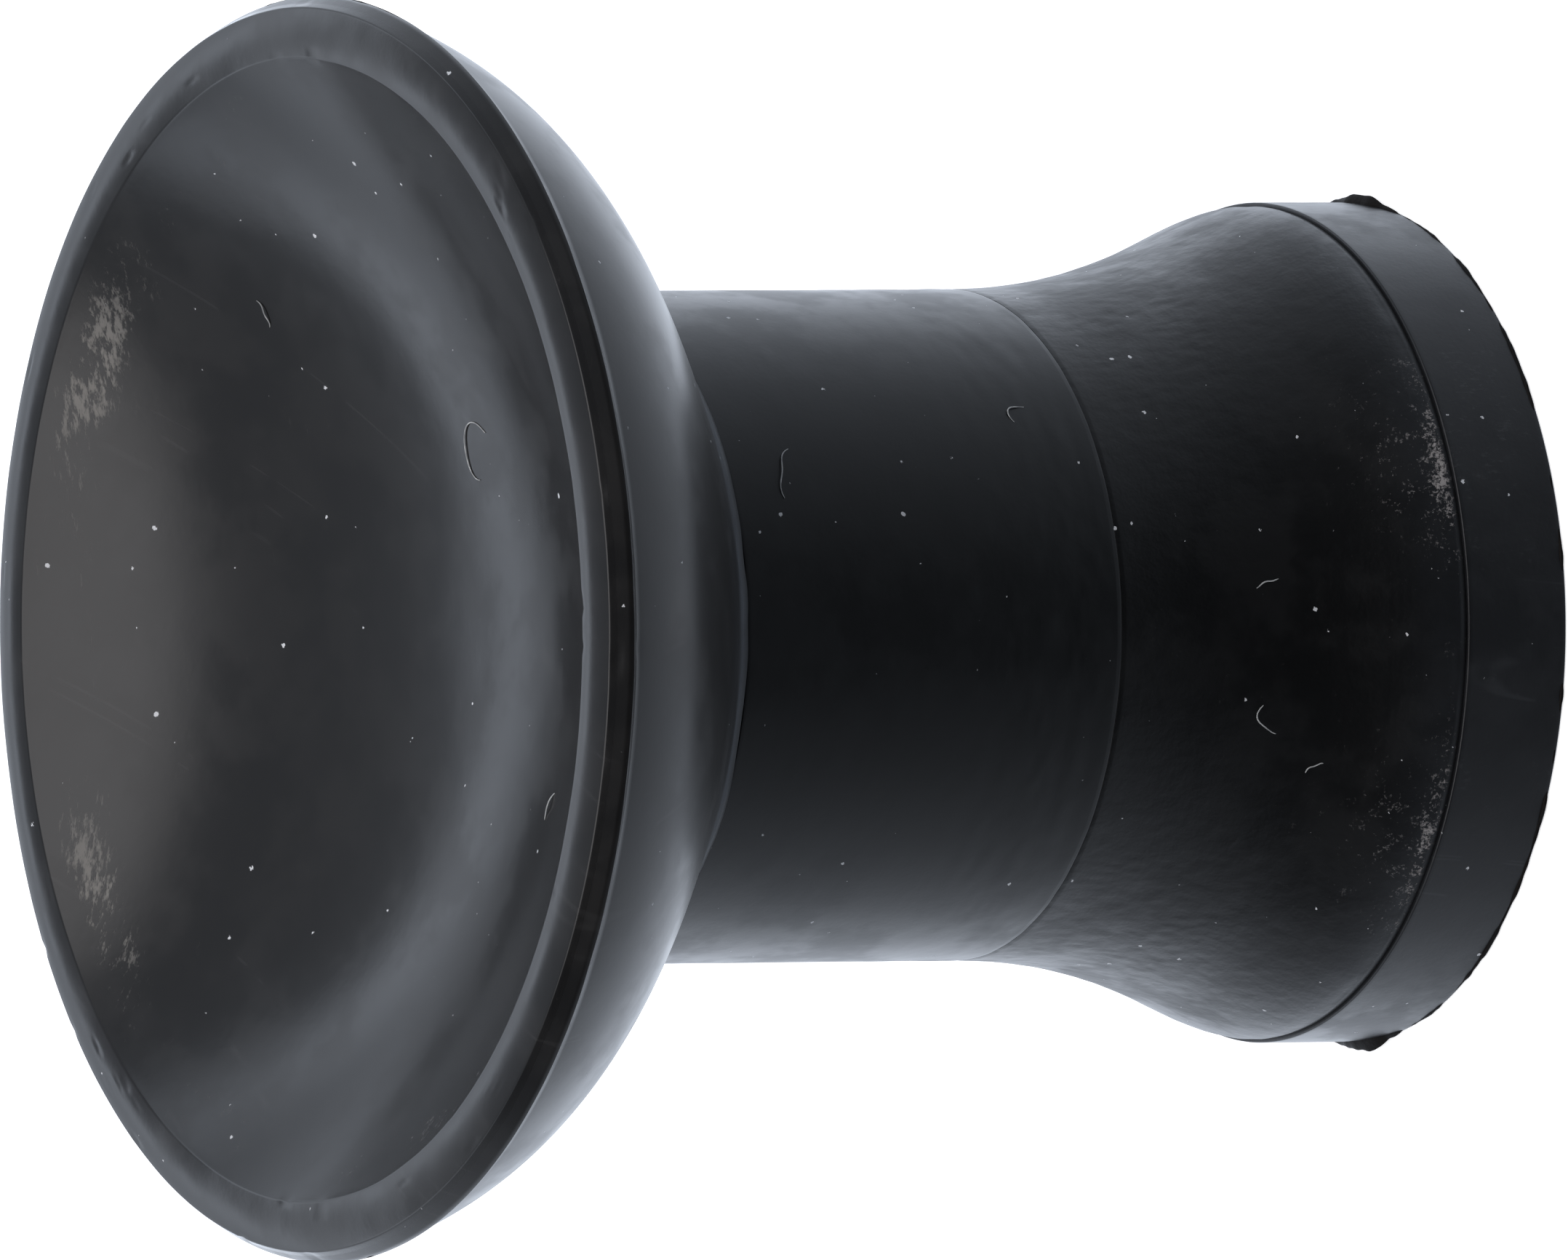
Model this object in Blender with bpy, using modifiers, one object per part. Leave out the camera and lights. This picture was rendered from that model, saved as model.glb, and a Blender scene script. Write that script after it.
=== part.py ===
"""A small rubber suction plunger head that pushes onto a spindle.

It stands on its base end face, with its axis on Z and its dish facing up. The rubber is in four
mouldings: a sucker cup with a stem, a plain sleeve round the stem, a flared collar under it, and
a band round the base end. A blind steel bush lines the socket that the spindle pushes into.
Everything is turned about Z, and every length is in metres.
"""

import math

import bpy

# Sucker cup
RIM_RADIUS = 0.0150  # widest circle of the lip
RIM_HEIGHT = 0.0286  # of that circle above the base end face
RIM_EDGE = 0.0005  # depth of the lip's upright edge
RIM_UNDERCUT = 0.00024  # step from that edge in to the bell
LIP_LAND = 0.00125  # width of the lip from its edge in to its ridge
LIP_RISE = 0.00035  # height of the ridge above the widest circle
DISH_DEPTH = 0.0050  # from the ridge down to the middle of the dish
DISH_POWER = 2.5  # 2 would be a parabola; more flattens the middle and steepens the side
BELL_HEIGHT = 0.00733  # from the widest circle down to the neck
BELL_ANGLE_AT_RIM = math.radians(19.3)  # both angles are from the axis
BELL_ANGLE_AT_NECK = math.radians(55)
BELL_FOOT_STEP = 0.0003  # how far the bell's foot stands out from the neck

# Neck, flare and base
NECK_RADIUS = 0.0080
FLARE_RADIUS = 0.0158  # of the hollow curve between the neck and the shoulder
SHOULDER_RADIUS = 0.0022  # of the rounded shoulder above the band
BASE_RADIUS = 0.01005
BAND_HEIGHT = 0.0027
BAND_WALL = 0.0016
EDGE_BREAK = 0.0001  # bevel on the mouldings' cut edges

# Socket, stem and joints inside
SPINDLE_RADIUS = 0.0045
SOCKET_DEPTH = 0.0130  # from the base end face to the socket's floor
BUSH_WALL = 0.0008
BUSH_RECESS = 0.0005  # how far the bush sits inside the base end face
REGISTER_WALL = 0.0010  # of the collar's spigot that centres the sleeve
REGISTER_HEIGHT = 0.0014
FIT_GAP = 0.0003  # between any two pieces

# Fineness
TURN_STEPS = 64
DISH_POINTS = 10
BELL_POINTS = 9
FLARE_POINTS = 9
SHOULDER_POINTS = 4

COLLECTION_NAME = "suction_plunger_head"
SCREW_MERGE = 0.00001

# Places worked out from the sizes above
ridge_radius = RIM_RADIUS - LIP_LAND
ridge_z = RIM_HEIGHT + LIP_RISE
neck_top = RIM_HEIGHT - BELL_HEIGHT
core_radius = SPINDLE_RADIUS + BUSH_WALL  # outside of the bush, and of the stem above it
core_bore = core_radius + FIT_GAP
bush_top = SOCKET_DEPTH + BUSH_WALL
flare_sum = FLARE_RADIUS + SHOULDER_RADIUS
flare_turn = math.acos(1 - (BASE_RADIUS - NECK_RADIUS) / flare_sum)
flare_top = BAND_HEIGHT + flare_sum * math.sin(flare_turn)
register_radius = core_bore + REGISTER_WALL


def clear_scene():
    for obj in list(bpy.data.objects):
        bpy.data.objects.remove(obj, do_unlink=True)


def make_material(name, colour, roughness, metallic=0.0):
    material = bpy.data.materials.new(name)
    material.use_nodes = True
    shader = material.node_tree.nodes["Principled BSDF"]
    shader.inputs["Base Color"].default_value = (*colour, 1.0)
    shader.inputs["Roughness"].default_value = roughness
    shader.inputs["Metallic"].default_value = metallic
    material.diffuse_color = (*colour, 1.0)
    return material


def turned(name, profile, material, collection, closed):
    """Turns a profile of (radius, height) points about Z. It runs down the outer side."""
    edges = [(i, i + 1) for i in range(len(profile) - 1)]
    if closed:
        edges.append((len(profile) - 1, 0))
    mesh = bpy.data.meshes.new(name)
    mesh.from_pydata([(radius, 0.0, height) for radius, height in profile], edges, [])
    obj = bpy.data.objects.new(name, mesh)
    collection.objects.link(obj)
    mesh.materials.append(material)
    screw = obj.modifiers.new("Turn", "SCREW")
    screw.axis = "Z"
    screw.steps = TURN_STEPS
    screw.render_steps = TURN_STEPS
    screw.use_merge_vertices = True
    screw.merge_threshold = SCREW_MERGE
    screw.use_smooth_shade = True
    return obj


def curve_points(start, start_handle, end_handle, end, count):
    """Points on a cubic Bezier from start to end, both included."""
    points = []
    for step in range(count + 1):
        t = step / count
        weights = ((1 - t) ** 3, 3 * t * (1 - t) ** 2, 3 * t * t * (1 - t), t ** 3)
        corners = (start, start_handle, end_handle, end)
        points.append(tuple(sum(w * c[k] for w, c in zip(weights, corners)) for k in (0, 1)))
    return points


def dish_points():
    """The dish from its middle out to just inside the ridge: depth times (radius share) ** power."""
    last = ridge_radius - EDGE_BREAK
    points = []
    for step in range(DISH_POINTS + 1):
        radius = last * step / DISH_POINTS
        share = (radius / ridge_radius) ** DISH_POWER
        points.append((radius, ridge_z - DISH_DEPTH * (1 - share)))
    return points


def lip_points():
    """The ridge, the land that slopes down from it, and the rounded upright edge."""
    round_over = LIP_LAND / 4
    return [
        (ridge_radius, ridge_z),
        (ridge_radius + EDGE_BREAK, ridge_z),
        (RIM_RADIUS - round_over, RIM_HEIGHT + LIP_RISE / 2),
        (RIM_RADIUS - round_over / 4, RIM_HEIGHT + LIP_RISE / 5),
        (RIM_RADIUS, RIM_HEIGHT),
        (RIM_RADIUS, RIM_HEIGHT - RIM_EDGE + EDGE_BREAK),
        (RIM_RADIUS - EDGE_BREAK, RIM_HEIGHT - RIM_EDGE),
    ]


def bell_points():
    """The bell's outside, round under the rim and nearly straight down to its foot at the neck."""
    start = (RIM_RADIUS - RIM_UNDERCUT, RIM_HEIGHT - RIM_EDGE)
    end = (NECK_RADIUS + BELL_FOOT_STEP, neck_top + FIT_GAP)
    reach = math.dist(start, end)
    rim_pull = reach * 0.37
    neck_pull = reach * 0.45
    start_handle = (
        start[0] - rim_pull * math.sin(BELL_ANGLE_AT_RIM),
        start[1] - rim_pull * math.cos(BELL_ANGLE_AT_RIM),
    )
    end_handle = (
        end[0] + neck_pull * math.sin(BELL_ANGLE_AT_NECK),
        end[1] + neck_pull * math.cos(BELL_ANGLE_AT_NECK),
    )
    return curve_points(start, start_handle, end_handle, end, BELL_POINTS)


def flare_points():
    """Hollow arc out from the neck, then the rounded shoulder, which ends on the band's radius."""
    points = []
    for step in range(FLARE_POINTS + 1):
        turn = flare_turn * step / FLARE_POINTS
        points.append(
            (
                NECK_RADIUS + FLARE_RADIUS * (1 - math.cos(turn)),
                flare_top - FLARE_RADIUS * math.sin(turn),
            )
        )
    for step in range(1, SHOULDER_POINTS + 1):
        turn = flare_turn * (1 - step / SHOULDER_POINTS)
        points.append(
            (
                BASE_RADIUS - SHOULDER_RADIUS * (1 - math.cos(turn)),
                BAND_HEIGHT + SHOULDER_RADIUS * math.sin(turn),
            )
        )
    return points


def add_suction_cup(collection, material):
    underside = neck_top + FIT_GAP / 2
    profile = dish_points() + lip_points() + bell_points()
    profile += [
        (NECK_RADIUS + BELL_FOOT_STEP / 2, underside),
        (core_radius, underside),
        (core_radius, bush_top + FIT_GAP + EDGE_BREAK),
        (core_radius - EDGE_BREAK, bush_top + FIT_GAP),
        (0.0, bush_top + FIT_GAP),
    ]
    return turned("suction_cup", profile, material, collection, closed=False)


def add_neck_sleeve(collection, material):
    top = neck_top - FIT_GAP / 2
    foot = flare_top + FIT_GAP / 2
    counterbore = register_radius + FIT_GAP
    counterbore_top = foot + REGISTER_HEIGHT
    profile = [
        (core_bore, top),
        (NECK_RADIUS - EDGE_BREAK, top),
        (NECK_RADIUS, top - EDGE_BREAK),
        (NECK_RADIUS, foot + EDGE_BREAK),
        (NECK_RADIUS - EDGE_BREAK, foot),
        (counterbore, foot),
        (counterbore, counterbore_top),
        (core_bore, counterbore_top),
    ]
    return turned("neck_sleeve", profile, material, collection, closed=True)


def add_flared_collar(collection, material):
    top = flare_top - FIT_GAP / 2
    band_bore = BASE_RADIUS - BAND_WALL
    outside = [point for point in flare_points() if BAND_HEIGHT + FIT_GAP / 2 < point[1] < top]
    profile = [
        (core_bore, top + REGISTER_HEIGHT - FIT_GAP),
        (register_radius, top + REGISTER_HEIGHT - FIT_GAP),
        (register_radius, top),
        (NECK_RADIUS, top),
        *outside,
        (BASE_RADIUS, BAND_HEIGHT + FIT_GAP / 2),
        (band_bore - FIT_GAP, BAND_HEIGHT + FIT_GAP / 2),
        (band_bore - FIT_GAP, EDGE_BREAK),
        (band_bore - FIT_GAP - EDGE_BREAK, 0.0),
        (core_bore, 0.0),
    ]
    return turned("flared_collar", profile, material, collection, closed=True)


def add_end_band(collection, material):
    bore = BASE_RADIUS - BAND_WALL
    top = BAND_HEIGHT - FIT_GAP / 2
    profile = [
        (bore, top),
        (BASE_RADIUS - EDGE_BREAK, top),
        (BASE_RADIUS, top - EDGE_BREAK),
        (BASE_RADIUS, EDGE_BREAK),
        (BASE_RADIUS - EDGE_BREAK, 0.0),
        (bore, 0.0),
    ]
    return turned("end_band", profile, material, collection, closed=True)


def add_drive_bush(collection, material):
    profile = [
        (0.0, bush_top),
        (core_radius - EDGE_BREAK, bush_top),
        (core_radius, bush_top - EDGE_BREAK),
        (core_radius, BUSH_RECESS + EDGE_BREAK),
        (core_radius - EDGE_BREAK, BUSH_RECESS),
        (SPINDLE_RADIUS + EDGE_BREAK, BUSH_RECESS),
        (SPINDLE_RADIUS, BUSH_RECESS + EDGE_BREAK),
        (SPINDLE_RADIUS, SOCKET_DEPTH),
        (0.0, SOCKET_DEPTH),
    ]
    return turned("drive_bush", profile, material, collection, closed=False)


def main():
    clear_scene()
    collection = bpy.data.collections.new(COLLECTION_NAME)
    bpy.context.scene.collection.children.link(collection)
    add_suction_cup(collection, make_material("cup_rubber", (0.020, 0.021, 0.023), 0.38))
    add_neck_sleeve(collection, make_material("sleeve_rubber", (0.012, 0.012, 0.013), 0.42))
    add_flared_collar(collection, make_material("collar_rubber", (0.014, 0.014, 0.015), 0.55))
    add_end_band(collection, make_material("band_rubber", (0.016, 0.018, 0.020), 0.45))
    add_drive_bush(collection, make_material("bush_steel", (0.45, 0.45, 0.46), 0.35, 1.0))


main()
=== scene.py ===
# Rubber suction plunger head: the finished surfaces, rubber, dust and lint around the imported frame.
import math

import bpy
import numpy as np
from mathutils import Matrix, Vector


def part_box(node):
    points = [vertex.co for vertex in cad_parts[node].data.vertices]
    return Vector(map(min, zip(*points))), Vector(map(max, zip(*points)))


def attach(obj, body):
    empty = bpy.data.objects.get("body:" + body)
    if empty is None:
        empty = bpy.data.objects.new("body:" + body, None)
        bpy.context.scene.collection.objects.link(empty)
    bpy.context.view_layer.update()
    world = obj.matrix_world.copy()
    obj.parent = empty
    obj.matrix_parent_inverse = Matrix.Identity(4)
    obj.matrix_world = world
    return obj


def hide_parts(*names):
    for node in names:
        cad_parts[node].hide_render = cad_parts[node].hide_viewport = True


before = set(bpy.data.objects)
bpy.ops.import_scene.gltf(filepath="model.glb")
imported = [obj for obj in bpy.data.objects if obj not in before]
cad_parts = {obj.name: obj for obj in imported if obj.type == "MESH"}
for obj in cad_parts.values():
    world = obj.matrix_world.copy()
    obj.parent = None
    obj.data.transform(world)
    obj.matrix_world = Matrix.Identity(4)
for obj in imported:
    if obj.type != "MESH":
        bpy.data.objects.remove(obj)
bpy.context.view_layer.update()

mm = 0.001
print("frame loaded:", ", ".join(sorted(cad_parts)))


# Sizes read from the frame, in millimetres

def nodeBox(node):
    return [np.array(corner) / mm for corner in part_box(node)]


rimRadius, _, ridgeHeight = nodeBox("suction_cup")[1]
(_, _, sleeveFoot), (neckRadius, _, sleeveTop) = nodeBox("neck_sleeve")
baseRadius, _, bandTop = nodeBox("end_band")[1]
coreRadius, _, bushTop = nodeBox("drive_bush")[1]

halfGap = 0.15   # half the space that the frame leaves between two neighbours
bandLine = bandTop + halfGap   # middle of the groove between band and collar
collarLine = sleeveFoot - halfGap   # middle of the line between collar and sleeve
neckLine = sleeveTop + halfGap   # middle of the line between sleeve and bell
coreGap = 0.05   # left round the bush and the stem


# Profile pieces, all as (radius, height) rows

def straight(a, b, count):
    # points evenly from a to b
    t = np.linspace(0, 1, count)[:, None]
    return np.array(a) * (1 - t) + np.array(b) * t


def hermite(a, aWay, b, bWay, count):
    # cubic that leaves a along aWay and reaches b along bWay:
    # (1-t)³a + 3t(1-t)²(a+aWay) + 3t²(1-t)(b-bWay) + t³b
    t = np.linspace(0, 1, count)[:, None]
    a, aWay, b, bWay = (np.array(v, float) for v in (a, aWay, b, bWay))
    near = (1 - t) ** 3 * a + 3 * t * (1 - t) ** 2 * (a + aWay)
    return near + 3 * t * t * (1 - t) * (b - bWay) + t ** 3 * b


def rounded(corners, arcSteps=7, spacing=0.25):
    # a line through (radius, height, fillet) corners, with an arc tangent to both sides at each corner
    path = [np.array(corners[0][:2], float)]
    for before, here, after in zip(corners, corners[1:], corners[2:]):
        p, q, r = (np.array(c[:2], float) for c in (before, here, after))
        inWay, outWay = (q - p) / np.linalg.norm(q - p), (r - q) / np.linalg.norm(r - q)
        turn = math.acos(float(np.clip(inWay @ outWay, -1, 1)))
        if here[2] <= 0 or turn < 1e-4:
            path.append(q)
            continue
        cut = here[2] * math.tan(turn / 2)
        a, b = q - inWay * cut, q + outWay * cut
        side = np.array([-inWay[1], inWay[0]])
        side = side * (1 if side @ outWay > 0 else -1)
        centre = a + side * here[2]
        for angle in np.linspace(0, turn, arcSteps):
            path.append(centre - side * here[2] * math.cos(angle) + inWay * here[2] * math.sin(angle))
    path.append(np.array(corners[-1][:2], float))
    return refined(np.array(path), spacing)


def refined(path, spacing):
    # adds points along each side that is longer than the spacing
    parts = []
    for a, b in zip(path, path[1:]):
        count = max(1, int(math.ceil(np.linalg.norm(b - a) / spacing)))
        parts.append(straight(a, b, count + 1)[:-1])
    parts.append(path[-1:])
    return np.concatenate(parts)


def joined(*parts):
    # one profile from several, without the points that repeat
    rows = np.concatenate(parts)
    step = np.linalg.norm(np.diff(rows, axis=0), axis=1)
    return rows[np.concatenate([[True], step > 1e-5])]


# Noise worked out on whole arrays

def latticeValue(cell, seed):
    # a number from -1 to 1 for each whole-number corner, by mixing its bits with large odd numbers
    h = cell[..., 0] * 73856093 ^ cell[..., 1] * 19349663 ^ cell[..., 2] * 83492791 ^ seed * 2654435761
    h = (h ^ (h >> 13)) * 1274126177 & 0xFFFFFFFF
    h = (h ^ (h >> 16)) & 0xFFFFFF
    return h / 0x7FFFFF - 1.0


def softNoise(points, size, seed):
    # corner values of a cubic grid of that size in mm, blended with 3t²-2t³
    p = points / size
    base = np.floor(p).astype(np.int64)
    t = p - base
    t = t * t * (3 - 2 * t)
    total = np.zeros(points.shape[:-1])
    for i in (0, 1):
        for j in (0, 1):
            for k in (0, 1):
                corner = np.array([i, j, k])
                weight = np.prod(np.where(corner == 1, t, 1 - t), axis=-1)
                total += weight * latticeValue(base + corner, seed)
    return total


def layeredNoise(points, size, octaves, seed):
    # softNoise added to itself at half the size and half the height each time
    total = np.zeros(points.shape[:-1])
    for octave in range(octaves):
        total += softNoise(points, size / 2 ** octave, seed + octave) / 2 ** octave
    return total


def hump(x, centre, width):
    # 1 at the centre, falling to 0 as a bell curve
    return np.exp(-((x - centre) / width) ** 2)


def ramp(x, low, high):
    # 0 below low, 1 above high, 3t²-2t³ between
    t = np.clip((x - low) / (high - low), 0, 1)
    return t * t * (3 - 2 * t)


def fromAxis(points):
    return np.hypot(points[..., 0], points[..., 1])


def drawnOut(points, share):
    # points for a noise that changes more slowly along the axis
    return points * np.array([1, 1, share])


def angleFrom(angle, centre):
    # signed angle to a direction, in degrees, from -180 to 180
    return (angle - centre + 180) % 360 - 180


# Mesh makers

def fillMesh(name, points, quads, triangles=None):
    # puts whole arrays of points (mm) and faces into a new object at the origin
    mesh = bpy.data.meshes.new(name)
    triangles = np.zeros((0, 3), np.int64) if triangles is None else triangles
    mesh.vertices.add(len(points))
    mesh.vertices.foreach_set("co", (points * mm).astype(np.float32).ravel())
    corners = np.concatenate([quads.ravel(), triangles.ravel()])
    totals = np.concatenate([np.full(len(quads), 4), np.full(len(triangles), 3)])
    starts = np.concatenate([[0], np.cumsum(totals)[:-1]])
    mesh.loops.add(len(corners))
    mesh.loops.foreach_set("vertex_index", corners.astype(np.int32))
    mesh.polygons.add(len(totals))
    mesh.polygons.foreach_set("loop_start", starts.astype(np.int32))
    mesh.polygons.foreach_set("loop_total", totals.astype(np.int32))
    mesh.update(calc_edges=True)
    mesh.validate()
    mesh.shade_smooth()
    mesh.set_sharp_from_angle(angle=math.radians(50))
    piece = bpy.data.objects.new(name, mesh)
    bpy.context.scene.collection.objects.link(piece)
    return piece


def turnedPiece(name, profile, around, relief=None, ring=False, masks=()):
    # point = (r cos a, r sin a, z) for each profile row and angle a, then moved along its normal
    # by relief(points, angle in degrees); a ring closes on itself, any other profile ends on the axis
    angle = np.linspace(0, 2 * math.pi, around, endpoint=False)
    ahead, behind = np.roll(profile, -1, 0), np.roll(profile, 1, 0)
    if not ring:
        ahead[-1], behind[0] = profile[-1], profile[0]
    tangent = ahead - behind
    tangent /= np.linalg.norm(tangent, axis=1)[:, None]
    outward = np.stack([-tangent[:, 1], tangent[:, 0]], axis=1)
    if not ring:
        outward[0], outward[-1] = (0, 1), (0, -1)
    turn = np.stack([np.cos(angle), np.sin(angle)], axis=1)
    points = np.empty((len(profile), around, 3))
    points[..., :2] = profile[:, None, :1] * turn[None]
    points[..., 2] = profile[:, None, 1]
    normals = np.empty_like(points)
    normals[..., :2] = outward[:, None, :1] * turn[None]
    normals[..., 2] = outward[:, None, 1]
    degrees = np.degrees(angle)[None, :] * np.ones((len(profile), 1))
    still = points.copy()
    if relief is not None:
        points = points + normals * relief(still, degrees)[..., None]
    rows = len(profile)
    if ring:
        index = np.arange(rows * around).reshape(rows, around)
        across = np.roll(index, -1, 1)
        quads = np.stack([index, np.roll(index, -1, 0), np.roll(across, -1, 0), across], axis=-1)
        piece = fillMesh(name, points.reshape(-1, 3), quads.reshape(-1, 4))
        flat = still.reshape(-1, 3)
    else:
        # both ends are on the axis: their rows become one point each, with a fan of triangles
        inner = points[1:-1].reshape(-1, 3)
        index = np.arange(len(inner)).reshape(rows - 2, around)
        across = np.roll(index, -1, 1)
        quads = np.stack([index[:-1], index[1:], across[1:], across[:-1]], axis=-1).reshape(-1, 4)
        first, last = len(inner), len(inner) + 1
        fans = np.concatenate([
            np.stack([np.full(around, first), index[0], across[0]], axis=-1),
            np.stack([index[-1], np.full(around, last), across[-1]], axis=-1),
        ])
        poles = np.stack([points[0].mean(0), points[-1].mean(0)])
        piece = fillMesh(name, np.concatenate([inner, poles]), quads, fans)
        flat = np.concatenate([still[1:-1].reshape(-1, 3), poles])
    flatAngle = np.degrees(np.arctan2(flat[:, 1], flat[:, 0]))
    for maskName, formula in masks:
        mask = piece.data.attributes.new(maskName, "FLOAT", "POINT")
        mask.data.foreach_set("value", np.clip(formula(flat, flatAngle), 0, 1).astype(np.float32))
    return piece


def finishPiece(piece, material, slotName, *nodes):
    piece.data.materials.append(material)
    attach(piece, "root")
    if nodes:
        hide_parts(*nodes)
    print("made", piece.name, len(piece.data.polygons), "faces")
    return piece


# Shader building

def addNode(tree, kind, values=None, **settings):
    # each value is a number, a vector, a colour, or another node's output, which is linked
    made = tree.nodes.new(kind)
    made.location = (220 * (len(tree.nodes) % 9), -190 * (len(tree.nodes) // 9))
    for key, value in settings.items():
        setattr(made, key, value)
    for key, value in (values or {}).items():
        if isinstance(value, bpy.types.NodeSocket):
            tree.links.new(value, made.inputs[key])
        else:
            made.inputs[key].default_value = value
    return made


def mathNode(tree, operation, a, b=None, clamp=False):
    values = {0: a} if b is None else {0: a, 1: b}
    return addNode(tree, "ShaderNodeMath", values, operation=operation, use_clamp=clamp).outputs[0]


def product(tree, a, b, clamp=False):
    return mathNode(tree, "MULTIPLY", a, b, clamp)


def vectorNode(tree, operation, *vectors):
    return addNode(tree, "ShaderNodeVectorMath", dict(enumerate(vectors)), operation=operation).outputs[0]


def spread(tree, value, low, high, toLow=0.0, toHigh=1.0, smooth=True):
    return addNode(tree, "ShaderNodeMapRange", {
        "Value": value, "From Min": low, "From Max": high, "To Min": toLow, "To Max": toHigh,
    }, interpolation_type="SMOOTHSTEP" if smooth else "LINEAR").outputs["Result"]


def mixColour(tree, factor, a, b):
    return addNode(tree, "ShaderNodeMix", {0: factor, 6: a, 7: b}, data_type="RGBA").outputs[2]


def noiseNode(tree, vector, scale, detail, roughness):
    return addNode(tree, "ShaderNodeTexNoise", {
        "Vector": vector, "Scale": scale, "Detail": detail, "Roughness": roughness})


def addBump(tree, shader, height, strength, depth):
    bump = addNode(tree, "ShaderNodeBump", {"Strength": strength, "Distance": depth * mm, "Height": height})
    tree.links.new(bump.outputs[0], shader.inputs["Normal"])


def newMaterial(name):
    material = bpy.data.materials.new(name)
    material.use_nodes = True
    return material, material.node_tree, material.node_tree.nodes["Principled BSDF"]


def newGroup(name, inputs, outputs):
    # a shader node group with named sockets: an input whose value is a float is a number, others are vectors
    group = bpy.data.node_groups.new(name, "ShaderNodeTree")
    for socketName, value in inputs.items():
        kind = "NodeSocketFloat" if isinstance(value, float) else "NodeSocketVector"
        socket = group.interface.new_socket(socketName, in_out="INPUT", socket_type=kind)
        if value is not None:
            socket.default_value = value
    for socketName in outputs:
        group.interface.new_socket(socketName, in_out="OUTPUT", socket_type="NodeSocketFloat")
    given, result = group.nodes.new("NodeGroupInput"), group.nodes.new("NodeGroupOutput")
    return group, given.outputs[:len(inputs)], result


def buildRubberGrain():
    # moulded skin: soft unevenness plus a fine grain as a height, and a broad patchy tone
    group, (vector, skinScale, grainScale, grainShare), result = newGroup(
        "rubberGrain", {"Vector": None, "Skin Scale": 900.0, "Grain Scale": 9000.0, "Grain Share": 0.3},
        ["Height", "Patches"])
    skin = noiseNode(group, vector, skinScale, 3.0, 0.6)
    grain = noiseNode(group, vector, grainScale, 1.0, 0.6)
    height = mathNode(group, "ADD", skin.outputs[0], product(group, grain.outputs[0], grainShare))
    group.links.new(height, result.inputs["Height"])
    broad = noiseNode(group, vector, 420.0, 4.0, 0.62)
    group.links.new(spread(group, broad.outputs[0], 0.38, 0.66), result.inputs["Patches"])
    return group


def buildDustSpecks():
    # specks: cells of a Voronoi pattern, a random share of them holding one ragged spot of random size
    group, (vector, cellScale, spotSize, share), result = newGroup(
        "dustSpecks", {"Vector": None, "Cell Scale": 700.0, "Spot Size": 0.11, "Share": 0.8}, ["Mask"])
    ragged = noiseNode(group, vector, 16000.0, 1.0, 0.7)
    shifted = vectorNode(group, "MULTIPLY_ADD", ragged.outputs["Color"], (0.00009, 0.00009, 0.00009), vector)
    cells = addNode(group, "ShaderNodeTexVoronoi", {
        "Vector": shifted, "Scale": cellScale, "Randomness": 1.0}, feature="F1")
    chance = addNode(group, "ShaderNodeSeparateColor", {0: cells.outputs["Color"]})
    size = mathNode(group, "ADD", 0.25, mathNode(group, "POWER", chance.outputs[1], 2.5))
    inside = mathNode(group, "SUBTRACT", product(group, spotSize, size), cells.outputs["Distance"])
    chosen = mathNode(group, "LESS_THAN", chance.outputs[0], share)
    spot = product(group, spread(group, inside, -0.004, 0.012), chosen)
    group.links.new(spot, result.inputs["Mask"])
    return group


def buildDryBloom():
    # chalky residue: broken fine streaks inside broad patches, let through by an amount
    group, (vector, patchScale, streak, amount), result = newGroup(
        "dryBloom", {"Vector": None, "Patch Scale": 700.0, "Streak": (1.0, 1.0, 1.0), "Amount": 0.5},
        ["Mask"])
    fine = noiseNode(group, vectorNode(group, "MULTIPLY", vector, streak), 7000.0, 3.0, 0.75)
    patches = noiseNode(group, vector, patchScale, 3.0, 0.6)
    level = mathNode(group, "ADD", product(group, fine.outputs[0], 0.60),
                     product(group, patches.outputs[0], 0.40))
    level = mathNode(group, "ADD", level, product(group, amount, 0.16))
    mask = product(group, spread(group, level, 0.62, 0.74), amount, clamp=True)
    group.links.new(mask, result.inputs["Mask"])
    return group


def buildHairScratches():
    # thin scratches: where a noise drawn out to long threads crosses one level, in two directions,
    # kept in a few places
    group, (vector, spacingScale, share), result = newGroup(
        "hairScratches", {"Vector": None, "Spacing Scale": 900.0, "Share": 0.4}, ["Mask"])
    lines = []
    for turn, stretch in ((0.55, (1.0, 0.03, 0.1)), (-0.95, (0.03, 1.0, 0.1))):
        turned = addNode(group, "ShaderNodeVectorRotate", {"Vector": vector, "Angle": turn},
                         rotation_type="Z_AXIS")
        stretched = vectorNode(group, "MULTIPLY", turned.outputs[0], stretch)
        threads = noiseNode(group, stretched, spacingScale, 0.0, 0.5)
        off = mathNode(group, "ABSOLUTE", mathNode(group, "SUBTRACT", threads.outputs[0], 0.5))
        lines.append(spread(group, off, 0.016, 0.003))
    broken = noiseNode(group, vector, 420.0, 2.0, 0.6)
    clearShare = mathNode(group, "SUBTRACT", 1.0, share)
    kept = mathNode(group, "SUBTRACT", spread(group, broken.outputs[0], 0.35, 0.65), clearShare)
    kept = product(group, kept, 3.0, clamp=True)
    group.links.new(product(group, mathNode(group, "MAXIMUM", *lines), kept), result.inputs["Mask"])
    return group


rubberGrain = buildRubberGrain()
dustSpecks = buildDustSpecks()
dryBloom = buildDryBloom()
hairScratches = buildHairScratches()
print("shader groups built")


def placeGroup(tree, group, vector, values):
    return addNode(tree, "ShaderNodeGroup", {"Vector": vector, **values}, node_tree=group)


usualRubber = {
    "specular": 0.5,
    "bloomStreak": (1.0, 1.0, 1.0), "bloomRelief": 0.5,
    "filmColour": (0.034, 0.037, 0.042, 1),
    "dustColour": (0.85, 0.85, 0.86, 1), "speckCover": 1.0,
    "scratchShare": 0, "glossDrop": 0.0, "grainScale": 9000.0,
}


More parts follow.
